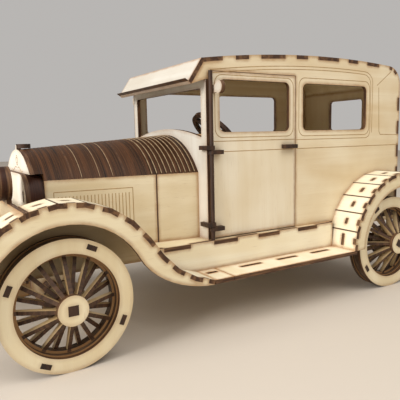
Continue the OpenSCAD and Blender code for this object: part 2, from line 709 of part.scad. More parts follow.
module front_wheel_pegs() color(DARK) wheel_pegs(front_x);
module rear_wheel_pegs() color(DARK) wheel_pegs(rear_x);

floor_plate();
chassis_rails();
axle_hangers();
aprons();
running_boards();
front_fender_left_plate();
front_fender_right_plate();
front_fender_left_strips();
front_fender_right_strips();
fender_formers();
rear_fender_left_plate();
rear_fender_right_plate();
rear_fender_left_strips();
rear_fender_right_strips();
body_side_left();
body_side_right();
front_bulkhead();
rear_panel();
roof_panel();
visor();
dashboard();
door_left();
door_right();
door_left_leaves();
door_right_leaves();
door_left_handle();
door_right_handle();
door_left_mirror();
door_right_mirror();
hinge_rods();
hinge_brackets();
hood_front_sheets();
hood_rear_sheets();
engine_side_front_panels();
engine_side_rear_panels();
nose_arch_plate();
radiator_front_plate();
radiator_sheets();
radiator_cap();
headlight_bar();
headlight_drums();
headlight_rims();
front_bumper();
rear_bumper();
front_axle();
front_tyre_rings();
front_left_tyre();
front_right_tyre();
front_spokes();
front_hubs();
front_wheel_pegs();
rear_axle();
rear_tyre_rings();
rear_left_tyre();
rear_right_tyre();
rear_spokes();
rear_hubs();
rear_wheel_pegs();
steering_column();
steering_wheel();
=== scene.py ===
"""Looks of the laser-cut plywood kit car: wood finishes, engraved lines, joints, lights and the camera."""

import logging
import math
from dataclasses import dataclass, field
from enum import Enum

import bmesh
import bpy
from mathutils import Matrix, Vector


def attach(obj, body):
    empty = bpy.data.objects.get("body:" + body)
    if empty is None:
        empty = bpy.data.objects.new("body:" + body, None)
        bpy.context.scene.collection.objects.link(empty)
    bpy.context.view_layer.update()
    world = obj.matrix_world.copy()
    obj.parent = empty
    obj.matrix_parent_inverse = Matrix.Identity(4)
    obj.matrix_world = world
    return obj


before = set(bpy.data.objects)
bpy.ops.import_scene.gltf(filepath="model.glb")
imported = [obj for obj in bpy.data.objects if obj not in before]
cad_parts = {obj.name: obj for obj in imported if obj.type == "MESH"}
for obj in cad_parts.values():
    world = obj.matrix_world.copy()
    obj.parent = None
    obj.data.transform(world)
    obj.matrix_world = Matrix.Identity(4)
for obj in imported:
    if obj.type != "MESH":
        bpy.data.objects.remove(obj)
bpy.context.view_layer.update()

LOG = logging.getLogger("kit_car")
MM = 0.001
Colour = tuple[float, float, float]
Point = tuple[float, float]
Point3 = tuple[float, float, float]

# inputs and outputs of Blender's Mix node when it mixes colours
MIX_LOW, MIX_HIGH, MIX_RESULT = 6, 7, 2


class Facing(Enum):
    """How the broad faces of a sheet lie, so that its cut edges can be told from them."""

    SIDE = "upright, facing left and right"
    ACROSS = "upright, facing forward and back"
    FLAT = "lying flat"
    SKIN = "bent or sloping between the sides, cut at its left and right ends"
    SPOKE = "standing along the axle, cut at its outer rim"


class Grain(Enum):
    """Direction in which the wood's grain runs."""

    FORWARD = 0
    SIDEWAYS = 1
    UP = 2


class Slot(Enum):
    """Material slots of the record, one of which is passed along with each added piece."""

    BIRCH = "birch_ply"
    BROWN = "brown_wood"


@dataclass(frozen=True)
class FaceRule:
    """How a sheet's faces are told from its cut edges: by how squarely they look along one axis."""

    axis: Point3
    test: str = "GREATER_THAN"
    limit: float = 0.75


FACE_RULES = {
    Facing.SIDE: FaceRule((0.0, 1.0, 0.0)),
    Facing.ACROSS: FaceRule((1.0, 0.0, 0.0)),
    Facing.FLAT: FaceRule((0.0, 0.0, 1.0)),
    Facing.SKIN: FaceRule((0.0, 1.0, 0.0), "LESS_THAN", 0.6),
    Facing.SPOKE: FaceRule((0.0, 1.0, 0.0), "LESS_THAN", 0.3),
}


def linear(red: int, green: int, blue: int) -> Colour:
    """Scene-linear colour of three sRGB display values.

    Args:
        red: Red, 0 to 255.
        green: Green, 0 to 255.
        blue: Blue, 0 to 255.

    Returns:
        The same colour in linear light.
    """
    def one(value: int) -> float:
        """Linear value of one channel, by the sRGB curve."""
        share = value / 255
        return share / 12.92 if share <= 0.04045 else ((share + 0.055) / 1.055) ** 2.4

    return one(red), one(green), one(blue)


class NodeGraph:
    """Small helper that adds and links the nodes of one material."""

    def __init__(self, name: str) -> None:
        """Starts an empty node material.

        Args:
            name: Name of the material.
        """
        self.material = bpy.data.materials.new(name)
        self.material.use_nodes = True
        self.tree = self.material.node_tree
        self.tree.nodes.clear()

    def add(self, kind: str, **settings: object) -> bpy.types.Node:
        """Adds a node.

        Args:
            kind: Type name of the node, without its ShaderNode prefix.
            **settings: Properties to set on it.

        Returns:
            The new node.
        """
        node = self.tree.nodes.new("ShaderNode" + kind)
        for key, value in settings.items():
            setattr(node, key, value)
        return node

    def join(self, source: bpy.types.NodeSocket, target: bpy.types.NodeSocket) -> None:
        """Links an output to an input."""
        self.tree.links.new(source, target)

    def sum(self, operation: str, *values: object, clamp: bool = False) -> bpy.types.NodeSocket:
        """Adds a Math node.

        Args:
            operation: Name of the operation.
            *values: Sockets or numbers for its inputs.
            clamp: Whether the result stays between 0 and 1.

        Returns:
            Its result.
        """
        node = self.add("Math", operation=operation, use_clamp=clamp)
        for socket, value in zip(node.inputs, values):
            self.feed(value, socket)
        return node.outputs[0]

    def feed(self, value: object, socket: bpy.types.NodeSocket) -> None:
        """Links a value to an input, or sets it as a constant.

        Args:
            value: A socket, or a constant of the input's own kind.
            socket: The input.
        """
        if isinstance(value, bpy.types.NodeSocket):
            self.join(value, socket)
        else:
            socket.default_value = value

    def tint(self, colour: object, socket: bpy.types.NodeSocket) -> None:
        """Links a colour to an input, or sets three numbers on it as an opaque colour."""
        self.feed(colour if isinstance(colour, bpy.types.NodeSocket) else (*colour, 1.0), socket)

    def mix(self, share: object, low: object, high: object, blend: str = "MIX") -> bpy.types.NodeSocket:
        """Mixes two colours.

        Args:
            share: Share of the second colour, a socket or a number.
            low: First colour, a socket or three numbers.
            high: Second colour, a socket or three numbers.
            blend: Way of mixing.

        Returns:
            The mixed colour.
        """
        node = self.add("Mix", data_type="RGBA", blend_type=blend)
        self.feed(share, node.inputs[0])
        self.tint(low, node.inputs[MIX_LOW])
        self.tint(high, node.inputs[MIX_HIGH])
        return node.outputs[MIX_RESULT]

    def spread(self, value: bpy.types.NodeSocket, low: float, high: float) -> bpy.types.NodeSocket:
        """Stretches a value between 0 and 1, and cuts off the rest.

        Args:
            value: The value.
            low: Where the result is 0.
            high: Where the result is 1; it may be less than low.

        Returns:
            The stretched value.
        """
        node = self.add("MapRange")
        self.join(value, node.inputs[0])
        node.inputs[1].default_value, node.inputs[2].default_value = low, high
        return node.outputs[0]

    def noise(self, scale: tuple[float, float, float], detail: float = 2.0,
              offset: float = 0.0, distortion: float = 0.0) -> bpy.types.NodeSocket:
        """Noise on the piece's own coordinates, stretched along each axis.

        Args:
            scale: Waves per metre along X, Y and Z.
            detail: Octaves of finer noise.
            offset: Shift that sets one pattern apart from the next.
            distortion: How far the pattern is bent by itself.

        Returns:
            A value about 0.5.
        """
        shift_y, shift_z = 0.7, 1.3
        mapping = self.add("Mapping")
        mapping.inputs["Scale"].default_value = scale
        mapping.inputs["Location"].default_value = (offset, offset * shift_y, offset * shift_z)
        self.join(self.place, mapping.inputs["Vector"])
        texture = self.add("TexNoise")
        texture.inputs["Scale"].default_value = 1.0
        texture.inputs["Detail"].default_value = detail
        texture.inputs["Distortion"].default_value = distortion
        self.join(mapping.outputs[0], texture.inputs["Vector"])
        return texture.outputs[0]

    @property
    def place(self) -> bpy.types.NodeSocket:
        """The piece's own coordinates, in metres."""
        return self.coordinates.outputs["Object"]

    @property
    def coordinates(self) -> bpy.types.Node:
        """The one Texture Coordinate node of the graph."""
        found = self.tree.nodes.get("coordinates")
        return found or self.add("TexCoord", name="coordinates")

    def squareness(self, axis: Point3) -> bpy.types.NodeSocket:
        """How squarely the surface looks along an axis of the piece, to either side.

        Args:
            axis: The axis.

        Returns:
            1 where it looks straight along the axis and 0 where it looks across.
        """
        turn = self.add("VectorMath", operation="DOT_PRODUCT")
        turn.inputs[1].default_value = axis
        self.join(self.coordinates.outputs["Normal"], turn.inputs[0])
        return self.sum("ABSOLUTE", turn.outputs["Value"])

    def openness(self, reach: float, inside: bool, samples: int) -> bpy.types.NodeSocket:
        """How free a point of the surface is of others near it.

        Args:
            reach: How far it looks, in millimetres.
            inside: Whether it looks into its own piece, not out at all the pieces.
            samples: Directions tried at each point.

        Returns:
            1 where nothing is near, and less where something is.
        """
        near = self.add("AmbientOcclusion", samples=samples, inside=inside, only_local=inside)
        near.inputs["Distance"].default_value = reach * MM
        return near.outputs["AO"]

    def close(self, colour: object, roughness: float, height: bpy.types.NodeSocket, depth: float,
              specular: float = 0.35, relief: float = 0.6) -> bpy.types.Material:
        """Ends the graph in a surface shader with a bump.

        Args:
            colour: Base colour, a socket or three numbers.
            roughness: Roughness all over the surface.
            height: Height of the bump, 0 to 1.
            depth: Depth of the bump, in metres.
            specular: Strength of the gloss.
            relief: Strength of the bump.

        Returns:
            The material.
        """
        bump = self.add("Bump")
        bump.inputs["Strength"].default_value = relief
        bump.inputs["Distance"].default_value = depth
        self.join(height, bump.inputs["Height"])
        shader = self.add("BsdfPrincipled")
        self.tint(colour, shader.inputs["Base Color"])
        shader.inputs["Roughness"].default_value = roughness
        shader.inputs["Specular IOR Level"].default_value = specular
        self.join(bump.outputs[0], shader.inputs["Normal"])
        output = self.add("OutputMaterial")
        self.join(shader.outputs[0], output.inputs[0])
        return self.material


@dataclass(frozen=True)
class SheetFinish:
    """Laser-cut plywood: pale faces with grain, and layered edges burnt brown by the cut.

    Waves are per metre: those of fibres, figure and flecks along and across the grain, those of plies along
    the edge and through the sheet. The halo, and the reach of the painted shade where sheets stand close, are
    in millimetres.
    """

    name: str
    facing: Facing
    grain: Grain = Grain.FORWARD
    face: Colour = linear(229, 210, 172)
    face_dark: Colour = linear(217, 191, 146)
    edge: Colour = linear(66, 42, 26)
    edge_light: Colour = linear(112, 80, 52)
    scorch: float = 0.75
    scorch_and_shade_colour: Colour = linear(150, 104, 58)
    halo: float = 2.9
    # strength and reach of the painted shade on faces where another sheet stands close
    contact_shade: float = 0.5
    contact_shade_reach: float = 7
    seed: float = 0.0
    fibre_waves: Point = (22, 900)
    figure_waves: Point = (7, 75)
    fleck_waves: Point = (90, 1500)
    mottle_waves: float = 26
    patch_waves: float = 120
    ply_waves: Point = (70.0, 1100.0)
    skin_ply_waves: Point3 = (260.0, 90.0, 260.0)
    figure_share: float = 0.55
    mottle_share: float = 0.45
    fibre_strength: float = 0.35
    fleck_strength: float = 0.25
    rim_strength: float = 0.9
    steady_burn: float = 0.35
    patchy_burn: float = 0.65

    def stretched(self, waves: Point) -> Point3:
        """Noise scale that is long along the grain and fine across it.

        Args:
            waves: Waves per metre along and across the grain.

        Returns:
            Waves per metre along X, Y and Z.
        """
        along, across = waves
        scale = [across, across, across]
        scale[self.grain.value] = along
        return scale[0], scale[1], scale[2]

    def face_mask(self, graph: NodeGraph) -> bpy.types.NodeSocket:
        """1 on the sheet's faces and 0 on its cut edges."""
        rule = FACE_RULES[self.facing]
        return graph.sum(rule.test, graph.squareness(rule.axis), rule.limit)

    def layers(self) -> Point3:
        """Noise scale of the plies that show on a cut edge.

        Returns:
            Waves per metre along X, Y and Z: fine through the sheet and long in its plane.
        """
        if self.facing is Facing.SKIN:
            return self.skin_ply_waves
        along, through = self.ply_waves
        return tuple(through if part else along for part in FACE_RULES[self.facing].axis)

    def build(self) -> bpy.types.Material:
        """Makes the material.

        Returns:
            The node material of this sheet.
        """
        graph = NodeGraph(self.name)
        fibres = graph.noise(self.stretched(self.fibre_waves), 3.0, self.seed)
        figure = graph.noise(self.stretched(self.figure_waves), 2.0, self.seed + 3.1, 0.6)
        mottle = graph.noise((self.mottle_waves,) * 3, 2.0, self.seed + 7.7)
        flecks = graph.spread(graph.noise(self.stretched(self.fleck_waves), 1.0, self.seed + 5.0), 0.68, 0.8)
        tone = graph.sum("ADD", graph.sum("MULTIPLY", figure, self.figure_share),
                         graph.sum("MULTIPLY", mottle, self.mottle_share))
        lines = graph.sum("MULTIPLY", graph.spread(fibres, 0.5, 0.75), self.fibre_strength)
        face = graph.mix(graph.spread(tone, 0.62, 0.38), self.face, self.face_dark)
        face = graph.mix(lines, face, self.face_dark)
        face = graph.mix(graph.sum("MULTIPLY", flecks, self.fleck_strength), face, self.scorch_and_shade_colour)
        if self.scorch:
            # painted shade: faces go toward the scorch brown where another sheet stands close; the real burn
            # halo follows
            face = graph.mix(self.contact_shade_mask(graph), face, self.scorch_and_shade_colour)
            face = graph.mix(self.scorch_mask(graph), face, self.scorch_and_shade_colour)
        ply = graph.spread(graph.noise(self.layers(), 2.0, self.seed + 9.0), 0.42, 0.64)
        edge = graph.mix(ply, self.edge, self.edge_light)
        colour = graph.mix(self.face_mask(graph), edge, face)
        height = graph.sum("ADD", graph.sum("MULTIPLY", fibres, 0.6), graph.sum("MULTIPLY", ply, 0.4))
        return graph.close(colour, 0.58, height, 0.00012)

    def scorch_mask(self, graph: NodeGraph) -> bpy.types.NodeSocket:
        """Share of burn on a face: a patchy halo beside each cut, and a thin rim along it.

        Args:
            graph: The material's graph.

        Returns:
            The share, 0 to 1.
        """
        near = graph.openness(self.halo, True, 6)
        burn = graph.spread(near, 0.99, 0.66)
        patchy = graph.spread(graph.noise((self.patch_waves,) * 3, 2.0, self.seed + 11.0), 0.3, 0.7)
        patches = graph.sum("ADD", self.steady_burn, graph.sum("MULTIPLY", patchy, self.patchy_burn))
        share = graph.sum("MULTIPLY", burn, patches)
        rim = graph.sum("MULTIPLY", graph.spread(near, 0.62, 0.5), self.rim_strength)
        return graph.sum("MULTIPLY", graph.sum("MAXIMUM", share, rim), self.scorch, clamp=True)

    def contact_shade_mask(self, graph: NodeGraph) -> bpy.types.NodeSocket:
        """Share of painted shade, in the scorch brown, on a face where another sheet stands close to it."""
        near = graph.openness(self.contact_shade_reach, False, 4)
        return graph.sum("MULTIPLY", graph.spread(near, 0.85, 0.35), self.contact_shade, clamp=True)


@dataclass(frozen=True)
class StackFinish:
    """Burnt edges of sheets stacked on each other: fine plies in every sheet, in walnut browns."""

    name: str
    deep: Colour = linear(34, 22, 14)
    warm: Colour = linear(90, 56, 32)
    face: Colour = linear(112, 80, 54)
    seed: float = 0.0
    ply_waves: Point3 = (1500, 14, 14)
    sheet_waves: Point3 = (230, 5, 5)
    streak_waves: Point3 = (420, 30, 30)
    face_limit: float = 0.8

    def build(self) -> bpy.types.Material:
        """Makes the material.

        Returns:
            The node material of the stack.
        """
        graph = NodeGraph(self.name)
        plies = graph.noise(self.ply_waves, 2.0, self.seed)
        sheets = graph.noise(self.sheet_waves, 1.0, self.seed + 2.0)
        streaks = graph.noise(self.streak_waves, 3.0, self.seed + 4.0, 0.4)
        tone = graph.sum("ADD", graph.sum("MULTIPLY", plies, 0.4), graph.sum("MULTIPLY", sheets, 0.3))
        tone = graph.sum("ADD", tone, graph.sum("MULTIPLY", streaks, 0.3))
        edge = graph.mix(graph.spread(tone, 0.38, 0.66), self.deep, self.warm)
        flat = graph.sum("GREATER_THAN", graph.squareness((1.0, 0.0, 0.0)), self.face_limit)
        return graph.close(graph.mix(flat, edge, self.face), 0.5, tone, 0.0002, 0.18)


@dataclass(frozen=True)
class StainFinish:
    """Dark stained wood, or the charred bottom of an engraved line."""

    name: str
    deep: Colour = linear(40, 26, 18)
    warm: Colour = linear(70, 46, 30)
    fibre_waves: Point3 = (300, 300, 60)

    def build(self) -> bpy.types.Material:
        """Makes the material.

        Returns:
            The node material of the stain.
        """
        graph = NodeGraph(self.name)
        fibres = graph.noise(self.fibre_waves, 3.0, 1.0)
        colour = graph.mix(graph.spread(fibres, 0.35, 0.7), self.deep, self.warm)
        return graph.close(colour, 0.6, fibres, 0.0001)


@dataclass(frozen=True)
class FloorFinish:
    """Plain pale floor."""

    name: str = "pale_floor"
    tone: Colour = linear(204, 194, 181)
    grain_waves: Point3 = (60, 60, 60)

    def build(self) -> bpy.types.Material:
        """Makes the material.

        Returns:
            The node material of the floor.
        """
        graph = NodeGraph(self.name)
        grain = graph.noise(self.grain_waves, 3.0)
        return graph.close(self.tone, 0.75, grain, 0.0002, 0.2)


# pairs of a pale and a darker tone that a sheet's face is mixed from
CREAM = {"face": linear(230, 217, 184), "face_dark": linear(219, 201, 162)}
CHALK = {"face": linear(236, 231, 220), "face_dark": linear(226, 218, 200)}
# SHADED is the chalk white painted darker as shade, for the visor, the bulkhead and the door mirrors
SHADED = {"face": linear(205, 200, 189), "face_dark": linear(192, 184, 170)}
WARM = {"face": linear(222, 208, 177), "face_dark": linear(207, 188, 150)}
PLAIN = {"face": linear(228, 214, 184), "face_dark": linear(215, 194, 156)}
MILKY = {"face": linear(240, 232, 208), "face_dark": linear(231, 217, 184)}


class Wardrobe:
    """All finishes by name, each built once when it is first asked for."""

    def __init__(self) -> None:
        """Lists the finishes of the car."""
        found = [
            SheetFinish("side_sheet", Facing.SIDE, seed=1.0, **PLAIN),
            SheetFinish("door_sheet", Facing.SIDE, Grain.UP, seed=4.0, face=linear(231, 220, 196),
                        face_dark=linear(220, 204, 172)),
            SheetFinish("fender_face", Facing.SIDE, seed=2.0, **CREAM),
            # the fender skin and the running boards set how strong their painted contact shade is
            SheetFinish("fender_skin", Facing.SKIN, Grain.SIDEWAYS, seed=3.0, contact_shade=0.6, **MILKY),
            SheetFinish("roof_skin", Facing.SKIN, seed=5.0, **CREAM),
            SheetFinish("visor_skin", Facing.SKIN, Grain.SIDEWAYS, seed=16.0, **SHADED),
            SheetFinish("cross_sheet", Facing.ACROSS, Grain.UP, seed=6.0, **PLAIN),
            SheetFinish("chalk_sheet", Facing.ACROSS, Grain.UP, seed=7.0, scorch=0.3, **CHALK),
            SheetFinish("cowl_sheet", Facing.ACROSS, Grain.UP, seed=17.0, scorch=0.4, **SHADED),
            SheetFinish("flat_sheet", Facing.FLAT, seed=8.0, **CREAM),
            SheetFinish("board_sheet", Facing.FLAT, Grain.SIDEWAYS, seed=18.0, contact_shade=0.9, scorch=1.0,
                        scorch_and_shade_colour=linear(176, 118, 62), **MILKY),
            SheetFinish("former_sheet", Facing.SIDE, seed=13.0, face=linear(206, 186, 148),
                        face_dark=linear(180, 156, 114)),
            SheetFinish("apron_sheet", Facing.SIDE, seed=14.0, **MILKY),
            SheetFinish("bar_sheet", Facing.ACROSS, Grain.SIDEWAYS, seed=15.0, face=linear(196, 178, 146),
                        face_dark=linear(170, 150, 118)),
            SheetFinish("engine_sheet", Facing.SIDE, seed=9.0, **WARM),
            SheetFinish("wheel_face", Facing.SIDE, Grain.UP, seed=10.0, scorch=0.35, **CREAM),
            SheetFinish("tyre_sheet", Facing.SIDE, seed=11.0, face=linear(150, 122, 84),
                        face_dark=linear(120, 92, 60), scorch=0.5, edge=linear(52, 36, 26),
                        edge_light=linear(104, 82, 60)),
            SheetFinish("spoke_sheet", Facing.SPOKE, seed=12.0, face=linear(206, 182, 140),
                        face_dark=linear(176, 148, 104), scorch=0.0, edge=linear(60, 40, 26),
                        edge_light=linear(86, 60, 40)),
            StackFinish("hood_stack", seed=0.3),
            StackFinish("spaced_stack", seed=0.9, face=linear(74, 56, 40)),
            StackFinish("nose_stack", deep=linear(36, 22, 16), warm=linear(72, 42, 29),
                        face=linear(66, 46, 34), seed=1.7),
            StainFinish("dark_stain"),
            StainFinish("engraved_line", deep=linear(150, 118, 74), warm=linear(176, 144, 98)),
            StainFinish("burnt_joint", deep=linear(58, 38, 24), warm=linear(92, 62, 38)),
            StainFinish("lit_line", deep=linear(132, 108, 82), warm=linear(168, 144, 112)),
            FloorFinish(),
        ]
        self.finishes = {finish.name: finish for finish in found}
        self.made: dict[str, bpy.types.Material] = {}

    def material(self, name: str) -> bpy.types.Material:
        """Material of a finish.

        Args:
            name: Name of the finish.

        Returns:
            The material, built at the first call.
        """
        if name not in self.made:
            self.made[name] = self.finishes[name].build()
        return self.made[name]

    def dress_nodes(self, finish: str, *nodes: str) -> None:
        """Gives CAD nodes a finish.

        Args:
            finish: Name of the finish.
            *nodes: Names of the CAD nodes.
        """
        for name in nodes:
            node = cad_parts[name]
            node.data.materials.clear()
            node.data.materials.append(self.material(finish))
            LOG.info("dressed %s in %s", name, finish)

    def hand_over(self, bm: bmesh.types.BMesh, name: str, finish: str, body: str, slot: Slot) -> None:
        """Turns a finished bmesh into a dressed piece that rides on a body.

        Args:
            bm: The mesh, in millimetres.
            name: Name of the new piece.
            finish: Name of its finish.
            body: CAD body that it rides on.
            slot: Material slot of the record; not used.
        """
        bmesh.ops.scale(bm, verts=bm.verts[:], vec=(MM, MM, MM))
        bmesh.ops.recalc_face_normals(bm, faces=bm.faces[:])
        mesh = bpy.data.meshes.new(name)
        bm.to_mesh(mesh)
        bm.free()
        mesh.materials.append(self.material(finish))
        piece = bpy.data.objects.new(name, mesh)
        bpy.context.scene.collection.objects.link(piece)
        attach(piece, body)
        LOG.info("made %s with %d faces on %s", name, len(mesh.polygons), body)


@dataclass(frozen=True)
class Face:
    """A flat face to draw on: a corner, and the directions right, up and out of it, in millimetres."""

    origin: Point3
    right: Point3
    up: Point3
    out: Point3

    def matrix(self) -> Matrix:
        """Places drawings on the face.

        Returns:
            Matrix from drawing coordinates (right, up, out) to the car's frame.
        """
        columns = [Vector(v) for v in (self.right, self.up, self.out, self.origin)]
        rows = [[c[i] for c in columns] for i in range(3)]
        return Matrix((*rows, (0, 0, 0, 1)))


@dataclass
class Engraver:
    """Cuts fine lines into a face, in millimetres: each line is a thin closed strip sunk into it."""

    face: Face
    width: float = 0.55
    proud: float = 0.04
    depth: float = 0.3
    sharpest: float = 0.4
    corner_steps: int = 6
    bm: bmesh.types.BMesh = field(default_factory=bmesh.new)

    def ribbon(self, points: list[Point]) -> None:
        """Draws one open line through points.

        Args:
            points: Points of the line, in the face's millimetres.
        """
        ways = [(Vector(b) - Vector(a)).normalized() for a, b in zip(points, points[1:])]
        sides = [Vector((-way.y, way.x)) for way in ways]
        flat: list[bmesh.types.BMFace] = []
        last: list[bmesh.types.BMVert] = []
        for i, point in enumerate(points):
            before, after = sides[max(i - 1, 0)], sides[min(i, len(sides) - 1)]
            miter = (before + after).normalized()
            reach = miter * self.width / 2 / max(miter.dot(after), self.sharpest)
            ends = [self.bm.verts.new((Vector(point) + side).to_3d()) for side in (reach, -reach)]
            if last:
                flat.append(self.bm.faces.new((last[0], last[1], ends[1], ends[0])))
            last = ends
        self.sink(flat)

    def frame(self, low: Point, high: Point, radius: float) -> None:
        """Draws a closed rectangle with round corners.

        Args:
            low: Lower left corner of the line's outer edge.
            high: Upper right corner of the line's outer edge.
            radius: Radius of the corners.
        """
        before = set(self.bm.faces)
        corners = bmesh.ops.create_grid(self.bm, x_segments=1, y_segments=1, size=0.5)["verts"]
        bmesh.ops.scale(self.bm, verts=corners, vec=(high[0] - low[0], high[1] - low[1], 1))
        middle = ((low[0] + high[0]) / 2, (low[1] + high[1]) / 2, 0)
        bmesh.ops.translate(self.bm, verts=corners, vec=middle)
        bmesh.ops.bevel(self.bm, geom=corners, affect="VERTICES", offset=radius,
                        segments=self.corner_steps, profile=0.5, material=-1)
        panel = next(face for face in self.bm.faces if face not in before)
        self.outline(panel)

    def ring(self, centre: Point, radius: float, steps: int = 24) -> None:
        """Draws a closed circle.

        Args:
            centre: Centre of the circle.
            radius: Radius of the line's outer edge.
            steps: Number of straight steps round it.
        """
        made = bmesh.ops.create_circle(self.bm, cap_ends=True, segments=steps, radius=radius)["verts"]
        panel = made[0].link_faces[0]
        bmesh.ops.translate(self.bm, verts=made, vec=(*centre, 0))
        self.outline(panel)

    def outline(self, panel: bmesh.types.BMFace) -> None:
        """Keeps only a band along the border of a flat face, and sinks it.

        Args:
            panel: The flat face.
        """
        band = bmesh.ops.inset_region(self.bm, faces=[panel], thickness=self.width, use_boundary=True,
                                      use_even_offset=True)["faces"]
        bmesh.ops.delete(self.bm, geom=[panel], context="FACES")
        self.sink(band)

    def sink(self, flat: list[bmesh.types.BMFace]) -> None:
        """Lifts flat faces just above the sheet and gives them their depth down into it.

        Args:
            flat: The faces, in drawing coordinates.
        """
        top = list({v for f in flat for v in f.verts})
        bmesh.ops.translate(self.bm, verts=top, vec=(0, 0, self.proud))
        grown = bmesh.ops.extrude_face_region(self.bm, geom=flat)["geom"]
        moved = [g for g in grown if isinstance(g, bmesh.types.BMVert)]
        bmesh.ops.translate(self.bm, verts=moved, vec=(0, 0, -self.depth - self.proud))

    def done(self) -> bmesh.types.BMesh:
        """Places the drawing on its face and gives the mesh, in the car's frame."""
        bmesh.ops.transform(self.bm, matrix=self.face.matrix(), verts=self.bm.verts[:])
        return self.bm


@dataclass(frozen=True)
class CarSizes:
    """Sizes of the frame that the drawn details follow, in millimetres."""

    ply: float = 3.0
    front_x: float = 143.5
    rear_x: float = -143.5
    axle_z: float = 40.0
    side_y: float = 62.6
    apron_y: float = 67.05
    fender_y: float = 91.9
    bulkhead_x: float = 33.0
    tail_x: float = -180.6
    roof_r: float = 960.0
    roof_peak: Point = (-90.0, 198.8)
    board_top: float = 40.2

    def roof_at(self, x: float) -> float:
        """Height of the roof's top at the place x along the car."""
        centre = self.roof_peak[1] - self.roof_r
        return centre + math.sqrt(self.roof_r ** 2 - (x - self.roof_peak[0]) ** 2)

    def flank(self, side: int, y: float) -> Face:
        """Upright face at the distance y on the left (1) or right (-1), drawn on by the car's own X and Z."""
        return Face((0, side * y, 0), (1, 0, 0), (0, 0, 1), (0, side, 0))


SIZES = CarSizes()
SIDES = {"left": 1, "right": -1}


@dataclass
class Chassis:
    """Floor, rails, hangers, aprons, running boards and bumpers."""

    wardrobe: Wardrobe

    def build(self) -> None:
        """Dresses the chassis."""
        self.wardrobe.dress_nodes("flat_sheet", "floor_plate")
        self.wardrobe.dress_nodes("board_sheet", "running_boards")
        self.wardrobe.dress_nodes("side_sheet", "chassis_rails", "axle_hangers")
        self.wardrobe.dress_nodes("apron_sheet", "aprons")
        self.wardrobe.dress_nodes("cross_sheet", "front_bumper", "rear_bumper")


@dataclass
class Fenders:
    """Fender plates, the strips laid over them, and the burnt joints between the strips.

    The start, the pitches and the slopes are in degrees; the other sizes are in millimetres.
    """

    wardrobe: Wardrobe
    front_r: float = 61.7
    front_start: float = 94.6
    front_pitch: float = 15.0
    arch_strips: int = 10
    tail_slopes: tuple[float, ...] = (54, 45, 30, 18)
    rear_r: float = 62.5
    rear_pitch: float = 14.5
    rear_back: float = 9.0
    rear_drop: float = 0.5
    joint_w: float = 1.1
    joint_proud: float = 0.03
    joint_depth: float = 1.2
    joint_lap: float = 2
    joint_end: float = 0.02

    def front_line(self) -> list[Point]:
        """Outer line of the front fender.

        Returns:
            Points (X, Z) between the strips, from the front tip to the running board.
        """
        turns = [math.radians(self.front_start - i * self.front_pitch) for i in range(self.arch_strips + 1)]
        line = [(SIZES.front_x + self.front_r * math.sin(a), SIZES.axle_z + self.front_r * math.cos(a))
                for a in turns]
        slopes = [math.radians(s) for s in self.tail_slopes]
        width = (line[-1][1] - SIZES.board_top) / sum(math.sin(s) for s in slopes)
        for slope in slopes:
            line.append((line[-1][0] - width * math.cos(slope), line[-1][1] - width * math.sin(slope)))
        return line

    def rear_line(self) -> list[Point]:
        """Outer line of the rear fender.

        Returns:
            Points (X, Z) between the strips, from the front foot over the wheel.
        """
        start = math.asin((SIZES.board_top - SIZES.axle_z + self.rear_drop) / self.rear_r)
        turns = [start + math.radians(self.rear_pitch) * i for i in range(self.arch_strips + 1)]
        centre = (SIZES.rear_x - self.rear_back, SIZES.axle_z - self.rear_drop)
        return [(centre[0] + self.rear_r * math.cos(a), centre[1] + self.rear_r * math.sin(a)) for a in turns]

    def joints(self, name: str, line: list[Point], side: int, inner: float) -> None:
        """Draws the dark joint between each two strips, across the fender.

        Args:
            name: Name of the new piece.
            line: Outer line of the fender.
            side: 1 on the left and -1 on the right.
            inner: Inner end of the joints, as a distance from the middle.
        """
        whole = bmesh.new()
        for i in range(1, len(line) - 1):
            along = (Vector(line[i + 1]) - Vector(line[i - 1])).normalized()
            out = Vector((along.y, -along.x))
            face = Face((line[i][0], 0, line[i][1]), (along.x, 0, along.y), (0, side, 0), (out.x, 0, out.y))
            pen = Engraver(face, width=self.joint_w, proud=self.joint_proud, depth=self.joint_depth)
            pen.ribbon([(0.0, inner), (0.0, SIZES.fender_y - self.joint_end)])
            part = pen.done()
            mesh = bpy.data.meshes.new("joint_scrap")
            part.to_mesh(mesh)
            part.free()
            whole.from_mesh(mesh)
            bpy.data.meshes.remove(mesh)
        self.wardrobe.hand_over(whole, name, "burnt_joint", "car", Slot.BIRCH)

    def build(self) -> None:
        """Dresses the fenders and adds their joints."""
        for side in SIDES:
            for end in ("front", "rear"):
                self.wardrobe.dress_nodes("fender_face", f"{end}_fender_{side}_plate")
                self.wardrobe.dress_nodes("fender_skin", f"{end}_fender_{side}_strips")
        self.wardrobe.dress_nodes("former_sheet", "fender_formers")
        for name, side in SIDES.items():
            self.joints(f"front_joints_{name}", self.front_line(), side, SIZES.apron_y - self.joint_lap)
            self.joints(f"rear_joints_{name}", self.rear_line(), side, SIZES.side_y)


